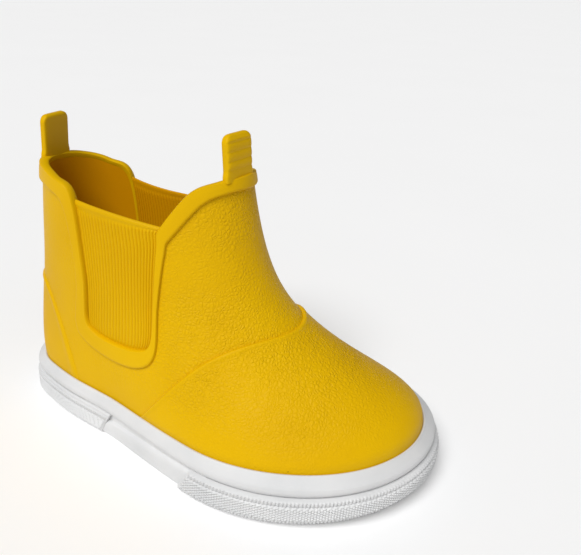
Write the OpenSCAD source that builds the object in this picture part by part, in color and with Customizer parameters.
// Child's slip-on ankle rain boot, right foot.
// Frame: toe along -Y, heel along +Y, outer (lateral) side along -X, +Z up.
// The tread stands on z = 0.  All lengths are millimetres, all angles degrees.

/* [Size] */
// Length of the sole, heel to toe, without the toe guard and heel guard
sole_length = 155.6; // [146:0.2:164]
// Width of the sole at the ball of the foot, without the toe guard
sole_width = 81.2; // [76:0.2:86]
// Height of the collar at the back of the heel
collar_height = 95; // [88:1:104]

/* [Sole] */
// Depth of the tread lugs
lug_depth = 3.6; // [2.5:0.1:4.5]
// Thickness of the outsole plate above the lugs
outsole_thick = 3.2; // [2.5:0.1:4]
// Height of the line where the upper meets the sole, at the heel
feather_height = 14.5; // [13:0.5:16]
// How far the tread rises at the tip of the toe
toe_spring = 5; // [2:0.5:7]
// How far the upper's bottom edge rises at the tip of the toe
feather_spring = 2.6; // [1:0.1:4]
// Number of zigzag lugs along the sole
lug_rows = 19; // [15:1:22]
// Thickness of the toe guard
guard_thick = 1.8; // [1:0.1:2.4]
// Thickness of the heel guard
heel_guard_thick = 0.8; // [0.5:0.1:1.6]

/* [Upper] */
// Wall thickness of the moulded upper
shell_thick = 2; // [1.6:0.1:2.6]
// Height of the raised panels and of the collar binding
panel_thick = 0.8; // [0.5:0.1:1.2]
// Height of the collar binding above the upper
binding_thick = 1.3; // [0.8:0.1:1.8]
// Number of ribs on each side gusset
gusset_ribs = 26; // [16:1:32]
// Depth of the gusset ribs
rib_depth = 0.6; // [0.3:0.1:0.8]

/* [Pull tabs] */
// Width of each pull tab
tab_width = 12.5; // [11:0.5:16]
// Thickness of each pull tab
tab_thick = 2.6; // [2:0.1:3.2]
// Height of the front pull tab above its root
front_tab_height = 11.6; // [11:0.2:16]
// Height of the rear pull tab above its root
rear_tab_height = 12.8; // [11:0.2:18]
// How far each tab can bend either way
tab_bend = 30; // [10:1:40]

/* [Hidden] */

YELLOW = "#e9b400";
DEEP_YELLOW = "#d69a00";
WHITE = "#eef0f1";
GREY = "#8d9096";

gap = 0.15;
ls = sole_length / 155.6;
ws = sole_width / 81.2;
hs = (collar_height - feather_height) / 80.5;
heel_y = 78.2 * ls;
toe_y = heel_y - sole_length;

// Fullness of the sole's outline and the bend of its middle line (towards the
// outer side), at eleven even stations from heel to toe
fullness = [1.17, 0.93, 0.81, 0.765, 0.80, 0.875, 0.97, 1.045, 1.10, 1.15, 1.19];
bend = [-2, -2.7, -1.9, -1.2, -0.2, 0.4, 0.4, -0.4, -1.6, -3.2, -5];

// Control rings of the upper, from the feather line to the collar:
// [back y, front y, half width, middle x, back z, front z, sole shape, squareness]
RINGS = [
    [74 * ls, -73.5 * ls, 39.9 * ws, 0, feather_height, feather_height + feather_spring, 1, 0],
    [74.9 * ls, -73.4 * ls, 37 * ws, -1.8, feather_height + 6 * hs, feather_height + 11.5 * hs, 0.95, 0.1],
    [74.7 * ls, -55.8 * ls, 26.5 * ws, -3.3, feather_height + 19.5 * hs, feather_height + 20.5 * hs, 0.5, 0],
    [71.7 * ls, -19 * ls, 24 * ws, 0.4, feather_height + 46 * hs, feather_height + 35.8 * hs, 0.2, 0.1],
    [70.4 * ls, -10.8 * ls, 21.4 * ws, 1, feather_height + 63.5 * hs, feather_height + 62.8 * hs, 0, 0.2],
    [69.1 * ls, -6.7 * ls, 20.3 * ws, 2.2, collar_height, collar_height + 2, 0, 0.2]];
KNOTS = [0, 0, 0, 0, 1/3, 2/3, 1, 1, 1, 1];

// Where the collar and the gusset's cut-out run, on the outer half of the boot:
// [edge angle, edge height, binding angle, binding height, angle at the sole]
EDGE = [
    [0, 0.984, 0, 0.938, 0],
    [26, 0.984, 24, 0.94, 22],
    [50, 0.97, 46, 0.936, 38],
    [67, 0.928, 61, 0.892, 45],
    [69.5, 0.7, 64.5, 0.69, 52],
    [64.5, 0.475, 57.5, 0.44, 58],
    [68, 0.418, 60.5, 0.345, 64],
    [77, 0.408, 72, 0.308, 74],
    [87, 0.428, 84, 0.335, 86],
    [94.5, 0.487, 94, 0.435, 97],
    [104, 0.67, 106, 0.67, 105],
    [112, 0.854, 115.5, 0.842, 112],
    [115, 0.905, 120.5, 0.888, 120],
    [132, 0.977, 138.5, 0.958, 138],
    [152, 0.997, 157.5, 0.977, 158],
    [180, 1, 180, 0.976, 180]];
EDGE_STEPS = 3;
// How much lower the inner half's edge lies, as a share of its height
INNER_DIP = 0.035;
// How much nearer the heel the inner half's cut-out lies, in degrees
INNER_TURN = 8;

// Height share at which the raised panels start, just above the foxing band
PANEL_LOW = 0.062;

// Fullness of the sole's outline is scaled by this, so that its widest place is sole_width
OUTLINE_FILL = 1.042;

// Depth of the gusset's face under the upper's face
GUSSET_SINK = 0.7;

// Rows of facets up each panel, and the angle between rungs of the sole
SHELL_ROWS = 10;
PANEL_ROWS = 8;
HEEL_ROWS = 6;
GUSSET_ROWS = 7;
SOLE_STEP = 4;
// The gusset's corners, as rows of EDGE, and the share by which it stays clear of its edge
REAR_TOP = 3;
REAR_FOOT = 5.4;
FRONT_FOOT = 8.7;
FRONT_TOP = 12;
GUSSET_INSET = 0.005;

// Layers of the sole, from the ground up
outsole_top = lug_depth + outsole_thick;
band_low = 11.2;
SHEET_GAP = 0.02;
SIDE_GAP = 0.45;
BOARD_INSET = 2.6;
FOOTBED_INSET = 7.2;
FOOTBED_THICK = 3;

// Tread: ring round the edge, zigzag bars and the centre panel
BORDER = 5.5;
BAR_WIDE = 3.6;
ZIG_STEP = 4.4;
ZIG_DEPTH = 2.6;
END_ROOM = 5;
PANEL_X = 1.5;
PANEL_BACK = 42;
PANEL_FRONT = -56;
EGG_BACK = 33;
WAIST_Y = 20;
WAIST_HALF = 12.8;
PANEL_THICK = 1.6;
PANEL_FULL = [34, 24, 20.4, 19.5, 20.5, 22.1, 24, 25.8, 27, 29.5, 34];
PADS = [[-15.7, -24.9], [-3.8, -16.4], [12.7, -18]];
PAD_R = 5.5;
CUSHION_X = 3.7;
CUSHION_Y = 50.7;
CUSHION_RX = 12.5;
CUSHION_RY = 15;
WINDOW_X = 1.4;
WINDOW_Y = -42.3;
WINDOW_SIZE = 13;
WINDOW_TURN = 45;
LUG_CLEAR = 2.2;
RIDGE_REACH = 17;
RIDGE_WIDE = 3;
RIDGE_SLANT = 2;
CUSHION_LOW = 0.8;
CUSHION_RIM = 4;
CUSHION_DISH = 1.2;

// Pull tabs: middle of each root, just clear of the collar's edge, its turn about the
// upright axis and its lean into the boot
TAB_GAP = 0.35;
RIDGE_R = 0.8;
RIDGES = 4;
REAR_TAB = [2.2, 68.4 * ls, surface_point(0, EDGE[0][1])[2] + tab_thick / 2 + TAB_GAP];
REAR_TAB_LEAN = 4;
FRONT_TAB = [-2, -4.9 * ls, collar_height + 2 + tab_thick / 2 + TAB_GAP];
FRONT_TAB_TURN = -12;
FRONT_TAB_LEAN = -6;

// ---------------------------------------------------------------- curves
function mix(p, q, f) = p + (q - p) * f;
function unit(p) = p / max(norm(p), 1e-9);
function pick(tab, i) = tab[max(0, min(len(tab) - 1, i))];
function spline4(a, b, c, d, f) =
    0.5 * (2 * b + (c - a) * f + (2 * a - 5 * b + 4 * c - d) * f * f + (3 * b - 3 * c + d - a) * f * f * f);

// Smooth value of an evenly spaced table at t from 0 to 1
function along(tab, t) =
    let (x = max(0, min(0.99999, t)) * (len(tab) - 1), i = floor(x))
    spline4(pick(tab, i - 1), pick(tab, i), pick(tab, i + 1), pick(tab, i + 2), x - i);

// Share of the way from heel to toe, and the toe's rise there
function share(y) = max(0, min(1, (heel_y - y) / sole_length));
function spring(t) = pow(max(0, (t - 0.55) / 0.45), 2);

// Height h of the sole at y, lifted by the toe spring
function lifted(h, y) =
    h + spring(share(y)) * mix(toe_spring, feather_spring, h / feather_height);

// The sole's outline at angle a: 0 is the heel, 90 the outer side, 180 the toe
function rim(a) =
    let (t = (1 - cos(a)) / 2)
    [-sin(a) * sole_width / 2 * OUTLINE_FILL * along(fullness, t) - along(bend, t),
     mix(heel_y, toe_y, t)];
function outline(a, inset = 0) =
    let (d = unit(rim(a + 1) - rim(a - 1)))
    rim(a) + inset * [-d[1], d[0]];

// ---------------------------------------------------------------- upper surface
function ring_point(r, a) =
    let (c = cos(a), t = (1 - c) / 2, foot = r[6],
         wide = r[2] * mix(1 + r[7] * c * c, along(fullness, t), foot))
    [r[3] - sin(a) * wide - foot * along(bend, t),
     mix(r[0], r[1], t),
     mix(r[4], r[5], mix(t, spring(t), foot))];
function basis(i, p, v) =
    p == 0 ? (v >= KNOTS[i] && v < KNOTS[i + 1] ? 1 : 0) :
    let (a = KNOTS[i + p] - KNOTS[i], b = KNOTS[i + p + 1] - KNOTS[i + 1])
    (a > 0 ? (v - KNOTS[i]) / a * basis(i, p - 1, v) : 0)
    + (b > 0 ? (KNOTS[i + p + 1] - v) / b * basis(i + 1, p - 1, v) : 0);
function surface_point(a, v) =
    let (u = max(0, min(0.999999, v)), n = [for (i = [0:5]) basis(i, 3, u)],
         p = [for (i = [0:5]) n[i] > 0 ? n[i] * ring_point(RINGS[i], a) : [0, 0, 0]])
    p[0] + p[1] + p[2] + p[3] + p[4] + p[5];

// Point of the upper at angle a and height share v, moved out by off
function skin(a, v, off = 0) =
    let (p = surface_point(a, v),
         da = surface_point(a + 1, v) - surface_point(a - 1, v),
         dv = surface_point(a, min(1, v + 0.01)) - surface_point(a, max(0, v - 0.01)))
    p + off * unit(cross(da, dv));

// Edge table at s from 0 (heel) over 1 (toe) to 2 (heel again, inner side)
function edge(s) =
    let (outer = s <= 1, e = along(EDGE, outer ? s : 2 - s), d = dip(2 - s), t = 360 + swing(2 - s))
    outer ? e : [t - e[0], e[1] * d, t - e[2], e[3] * d, t - e[4]];

// The inner half's edge height as a share of the outer half's
function dip(s) = 1 - INNER_DIP * sin(180 * s);

// Degrees by which the inner half's edge lies nearer the heel
function swing(s) = INNER_TURN * sin(180 * s);
edge_count = 2 * EDGE_STEPS * (len(EDGE) - 1);

// ---------------------------------------------------------------- solids
// Closed solid between an outer and an inner grid of points, each [row][column]
module slab(outer, inner, loop = false) {
    rows = len(outer);
    cols = len(outer[0]);
    last = loop ? cols - 1 : cols - 2;
    half = rows * cols;
    points = concat([for (row = outer) each row], [for (row = inner) each row]);
    faces = [
        for (j = [0:rows - 2], i = [0:last])
            let (a = j * cols + i, b = j * cols + (i + 1) % cols, c = a + cols, d = b + cols)
            each [[a, c, b], [b, c, d], [half + a, half + b, half + c], [half + b, half + d, half + c]],
        for (i = [0:last])
            let (a = i, b = (i + 1) % cols, c = (rows - 1) * cols + a, d = (rows - 1) * cols + b)
            each [[a, b, half + a], [b, half + b, half + a], [d, c, half + c], [d, half + c, half + d]],
        if (!loop) for (j = [0:rows - 2])
            let (a = j * cols, b = a + cols, c = b - 1, d = c + cols)
            each [[b, a, half + a], [b, half + a, half + b], [c, d, half + c], [d, half + d, half + c]]];
    polyhedron(points, faces, convexity = 10);
}

// Closed solid between heights h0 and h1 of the sole, from rungs [inner side, outer side]
module ladder(rungs, h0, h1) {
    slab([for (r = rungs) [for (p = r) [p[0], p[1], lifted(h1, p[1])]]],
         [for (r = rungs) [for (p = r) [p[0], p[1], lifted(h0, p[1])]]]);
}

// Rungs across the whole sole, inset from its outline
function sole_rungs(inset) =
    [for (a = [SOLE_STEP / 2:SOLE_STEP:180]) [outline(360 - a, inset), outline(a, inset)]];

// Points on a circle or an ellipse, as rungs from its back to its front
function oval_rungs(x, y, rx, ry) =
    [for (a = [5:10:175]) [[x + rx * sin(a), y + ry * cos(a)], [x - rx * sin(a), y + ry * cos(a)]]];

// Angles of a loop all round the boot
function round_angles(step) = [for (a = [0:step:359.9]) a];

// ---------------------------------------------------------------- upper
// Moulded ankle shell: its top edge is the collar and the gussets' cut-outs
module upper_shell() {
    edges = [for (i = [0:edge_count - 1]) edge(2 * i / edge_count)];
    function foot(e, off) = let (p = skin(e[4], 0, off)) [p[0], p[1], surface_point(e[4], 0)[2]];
    function shell_grid(off) = [for (j = [0:SHELL_ROWS]) let (w = j / SHELL_ROWS)
        [for (e = edges) j == 0 ? foot(e, off) : skin(mix(e[4], e[0], w), e[1] * w, off)]];
    color(YELLOW) slab(shell_grid(0), shell_grid(-shell_thick), loop = true);
}

// Height share of the toe panel's seam at angle a
function seam(a) = 0.6 * pow(max(0.02, 1 - pow(abs(a - 175) / 98, 3)), 0.85);

// Thin moulded panel over the toe and the vamp
module toe_panel() {
    angles = [for (a = [82:4:268]) a];
    function panel(off, lip) = [for (j = [0:PANEL_ROWS]) let (w = j / PANEL_ROWS)
        [for (a = angles) skin(a, mix(PANEL_LOW, seam(a), w), j == PANEL_ROWS ? lip : off)]];
    color(YELLOW) slab(panel(gap + panel_thick, gap + panel_thick / 2), panel(gap, gap));
}

// Thin moulded panel round the heel
module heel_counter() {
    angles = [for (a = [-50:5:50]) a];
    function top(a) = max(0.1, 0.55 * pow(1 - pow(abs(a) / 52, 6), 0.6));
    function panel(off, lip) = [for (j = [0:HEEL_ROWS]) let (w = j / HEEL_ROWS)
        [for (a = angles) skin(a, mix(PANEL_LOW, top(a), w), j == HEEL_ROWS ? lip : off)]];
    color(YELLOW) slab(panel(gap + panel_thick / 2, gap + panel_thick / 4), panel(gap, gap));
}

// Rounded binding that runs along the collar and round both gussets
module collar_binding() {
    edges = [for (i = [0:edge_count - 1]) edge(2 * i / edge_count)];
    profile = [0.3, 0.85, 1, 0.85, 0.3];
    last = len(profile) - 1;
    function row(j, off) = [for (e = edges)
        skin(mix(e[2], e[0], j / last), mix(e[3], e[1], j / last), off)];
    color(YELLOW) slab([for (j = [0:last]) row(j, gap + binding_thick * profile[j])],
                       [for (j = [0:last]) row(j, gap)], loop = true);
}

// Ribbed stretch panel in a side cut-out; side is 1 for outer, -1 for inner.
// It is stretched between the cut-out's two sides, its rounded foot and its straight top.
module gusset(side) {
    steps = 2 * gusset_ribs;
    function cut(row) = let (s = row / (len(EDGE) - 1), e = along(EDGE, s))
        side > 0 ? [e[0], e[1]] : [e[0] - swing(s), e[1] * dip(s)];
    rear = cut(REAR_TOP);
    front = cut(FRONT_TOP);
    foot_rear = cut(REAR_FOOT);
    foot_front = cut(FRONT_FOOT);
    function place(f, w) =
        mix(cut(mix(REAR_FOOT, FRONT_FOOT, f)), mix(rear, front, f), w)
        + mix(cut(mix(REAR_FOOT, REAR_TOP, w)), cut(mix(FRONT_FOOT, FRONT_TOP, w)), f)
        - mix(mix(foot_rear, foot_front, f), mix(rear, front, f), w);
    function point(f, w, off) =
        let (q = place(side > 0 ? f : 1 - f, w)) skin(side > 0 ? q[0] : 360 - q[0], q[1], off);
    function grid(off, rib) = [for (j = [0:GUSSET_ROWS])
        [for (i = [0:steps])
            point(mix(GUSSET_INSET, 1 - GUSSET_INSET, i / steps), mix(GUSSET_INSET, 1, j / GUSSET_ROWS),
                  off + (i % 2 == 1 ? rib : 0))]];
    color(YELLOW) slab(grid(-GUSSET_SINK, rib_depth), grid(-GUSSET_SINK - shell_thick / 2, 0));
}
module gusset_lateral() gusset(1);
module gusset_medial() gusset(-1);

// ---------------------------------------------------------------- pull tabs
// Upright tab with rounded top corners, standing on its round root at z = 0
module pull_tab(high, ridges) {
    r = 3;
    arc = [for (a = [0:15:90]) [tab_width / 2 - r + r * sin(90 - a), high - r + r * sin(a)]];
    shape = concat([[-tab_width / 2, 0], [tab_width / 2, 0]], arc,
                   [for (i = [len(arc) - 1:-1:0]) [-arc[i][0], arc[i][1]]]);
    union() {
        rotate([90, 0, 0])
            linear_extrude(tab_thick, center = true) polygon(shape);
        rotate([0, 90, 0])
            cylinder(h = tab_width, r = tab_thick / 2, center = true, $fn = 32);
        for (i = [1:1:ridges])
            translate([0, -tab_thick / 2, high * i / (ridges + 1)])
                rotate([0, 90, 0])
                    cylinder(h = tab_width - 1, r = RIDGE_R, center = true, $fn = 24);
    }
}
module front_pull_tab() {
    color(YELLOW)
        translate(FRONT_TAB)
            rotate([FRONT_TAB_LEAN, 0, FRONT_TAB_TURN])
                pull_tab(front_tab_height, RIDGES);
}
module rear_pull_tab() {
    color(YELLOW)
        translate(REAR_TAB)
            rotate([REAR_TAB_LEAN, 0, 0])
                pull_tab(rear_tab_height, 0);
}

// ---------------------------------------------------------------- sole
// Rounded white band that covers the joint between upper and sole
module foxing_band() {
    angles = round_angles(3.75);
    function side_row(inset, h) = [for (a = angles) let (p = outline(a, inset)) [p[0], p[1], lifted(h, p[1])]];
    function skin_row(v, off) = [for (a = angles) skin(a, v, off)];
    outer = [side_row(0.4, band_low), side_row(-0.3, band_low + 1.2), side_row(-0.3, feather_height - 0.6),
             side_row(0.5, feather_height + 0.9), skin_row(0.05, 0.9)];
    inner = [side_row(1.8, band_low), side_row(1.8, band_low + 1.2), side_row(1.8, feather_height - 0.6),
             skin_row(0.01, 0.15), skin_row(0.05, 0.15)];
    color(WHITE) slab(outer, inner, loop = true);
}

// White side wall and body of the sole
module midsole() {
    color(WHITE) ladder(sole_rungs(0.4), outsole_top + SHEET_GAP, band_low - SHEET_GAP);
}

// Strip proud of the sole's side, from angle a0 to a1, thick mm deep, with upright ribs
module guard(a0, a1, thick, low, high, step) {
    angles = [for (a = [a0:step:a1]) a];
    function row(h, out, groove) = [for (i = [0:len(angles) - 1])
        let (p = outline(angles[i], -out + (i % 2 == 1 ? groove : 0)))
        [p[0], p[1], lifted(h, p[1])]];
    mid = (low + high) / 2;
    color(WHITE) slab([row(low, thick * 0.7, 0), row(low + 1, thick, 0.3), row(mid, thick, 0),
                       row(high - 1, thick, 0.3), row(high, thick * 0.7, 0)],
                      [for (h = [low, low + 1, mid, high - 1, high]) row(h, SIDE_GAP, 0)]);
}
module toe_guard() guard(93, 263, guard_thick, 1, band_low - 0.4, 2.5);
module heel_guard() guard(-64, 64, heel_guard_thick, 1, band_low - 0.4, 3.2);

// Holes for the cushion and for the window
module cushion_hole() {
    translate([CUSHION_X, CUSHION_Y, 0])
        scale([CUSHION_RX / CUSHION_RY, 1, 1])
            cylinder(h = 20, r = CUSHION_RY + gap, $fn = 96);
}
module window_hole() {
    translate([WINDOW_X, WINDOW_Y, 0])
        rotate(WINDOW_TURN)
            translate([-WINDOW_SIZE / 2, -WINDOW_SIZE / 2, 0])
                cube([WINDOW_SIZE, WINDOW_SIZE, 20]);
}

// Outsole plate with the ring of rubber round its edge, and the two holes
module outsole() {
    angles = round_angles(5);
    function ring(inset, h) = [for (a = angles) let (p = outline(a, inset)) [p[0], p[1], lifted(h, p[1])]];
    color(WHITE) {
        difference() {
            ladder(sole_rungs(0), lug_depth, outsole_top);
            cushion_hole();
            window_hole();
        }
        slab([ring(0.1, 0), ring(0.1, lug_depth - SHEET_GAP)],
             [ring(BORDER, 0), ring(BORDER, lug_depth - SHEET_GAP)], loop = true);
    }
}

// Half width and middle of the tread's centre panel at y (0 outside it)
function panel_half(y) =
    let (t = (EGG_BACK - y) / (EGG_BACK - PANEL_FRONT),
         egg = t <= 0 || t >= 1 ? 0 : 2 * sqrt(t * (1 - t)) * along(PANEL_FULL, t))
    y > PANEL_BACK ? 0 : y > WAIST_Y ? max(egg, WAIST_HALF) : egg;

// Outer and inner edge of the sole at y, inset from the outline
function angle_at(y) = acos(max(-1, min(1, 1 - 2 * share(y))));
function edge_x(y, side, inset) =
    let (reach = (BAR_WIDE + ZIG_DEPTH) / 2 + END_ROOM,
         xs = [for (d = [-reach, 0, reach]) let (a = angle_at(y + d)) outline(side > 0 ? a : 360 - a, inset)[0]])
    side > 0 ? max(xs) : min(xs);

// Zigzag bar from x0 to x1 at y
module zigzag(x0, x1, y) {
    n = max(1, round(abs(x1 - x0) / ZIG_STEP));
    rungs = [for (i = [0:n])
        let (x = mix(x0, x1, i / n), dy = ZIG_DEPTH * (i % 2 == 0 ? 1 : -1) / 2)
        [[x, y + dy - BAR_WIDE / 2], [x, y + dy + BAR_WIDE / 2]]];
    if (abs(x1 - x0) > ZIG_STEP)
        ladder(rungs, 0, lug_depth - SHEET_GAP);
}

// Rows of zigzag lugs, parted in the middle by the centre panel and the cushion
module tread_lugs() {
    pitch = (sole_length - 2 * BORDER - 8) / (lug_rows - 1);
    color(WHITE) for (i = [0:lug_rows - 1]) {
        y = heel_y - BORDER - 4 - i * pitch;
        outer = edge_x(y, 1, BORDER + 0.6);
        inner = edge_x(y, -1, BORDER + 0.6);
        in_cushion = abs(y - CUSHION_Y) < CUSHION_RY + 3;
        half = max([for (d = [-3:1.5:3]) panel_half(y + d)]);
        right = max(half > 0 ? PANEL_X + half : 0, in_cushion ? CUSHION_X + CUSHION_RX : 0);
        left = min(half > 0 ? PANEL_X - half : 0, in_cushion ? CUSHION_X - CUSHION_RX : 0);
        if (right > 0) {
            zigzag(inner, right + LUG_CLEAR, y);
            zigzag(left - LUG_CLEAR, outer, y);
        } else {
            zigzag(inner, outer, y);
        }
    }
}

// Centre panel of the tread: an egg-shaped plate with three round pads and a cross ridge
module tread_panel() {
    rungs = [for (i = [0:27]) let (y = mix(PANEL_BACK, PANEL_FRONT, i / 28), w = panel_half(y))
        [[PANEL_X + w, y], [PANEL_X - w, y]]];
    low = lug_depth - PANEL_THICK;
    color(WHITE) {
        difference() {
            ladder(rungs, low, lug_depth - SHEET_GAP);
            cushion_hole();
            window_hole();
        }
        for (p = PADS)
            ladder(oval_rungs(p[0], p[1], PAD_R, PAD_R), low - 1, low - SHEET_GAP);
        ladder([for (side = [1, -1]) let (x = PANEL_X + side * RIDGE_REACH, y = (1 - side) / 2 * RIDGE_SLANT)
                    [[x, y], [x, y + RIDGE_WIDE]]],
               low - 1, low - SHEET_GAP);
    }
}

// Clear amber cushion under the heel, seen through the outsole
module heel_cushion() {
    color(DEEP_YELLOW)
        translate([CUSHION_X, CUSHION_Y, CUSHION_LOW])
            scale([CUSHION_RX / CUSHION_RY, 1, 1])
                difference() {
                    cylinder(h = outsole_top - CUSHION_LOW, r = CUSHION_RY, $fn = 96);
                    translate([0, 0, CUSHION_DISH - 10])
                        cylinder(h = 10, r = CUSHION_RY - CUSHION_RIM, $fn = 96);
                }
}

// Small amber window in the centre panel, with a raised square in it
module forefoot_window() {
    size = WINDOW_SIZE - 0.3;
    color(DEEP_YELLOW)
        translate([WINDOW_X, WINDOW_Y, lifted(lug_depth, WINDOW_Y) - 2.2])
            rotate(WINDOW_TURN)
                union() {
                    translate([-size / 2, -size / 2, 0]) cube([size, size, 4.2]);
                    translate([-size / 4, -size / 4, -0.6]) cube([size / 2, size / 2, 1]);
                }
}

// Stiff board that closes the bottom of the upper
module lasting_board() {
    color(GREY) ladder(sole_rungs(BOARD_INSET), band_low + SHEET_GAP, feather_height - SHEET_GAP);
}

// Loose foam footbed inside the boot
module footbed() {
    color("#c9ccd0") ladder(sole_rungs(FOOTBED_INSET), feather_height + 0.2, feather_height + 0.2 + FOOTBED_THICK);
}

upper_shell();
toe_panel();
heel_counter();
collar_binding();
gusset_lateral();
gusset_medial();
front_pull_tab();
rear_pull_tab();
foxing_band();
midsole();
toe_guard();
heel_guard();
outsole();
tread_lugs();
tread_panel();
heel_cushion();
forefoot_window();
lasting_board();
footbed();
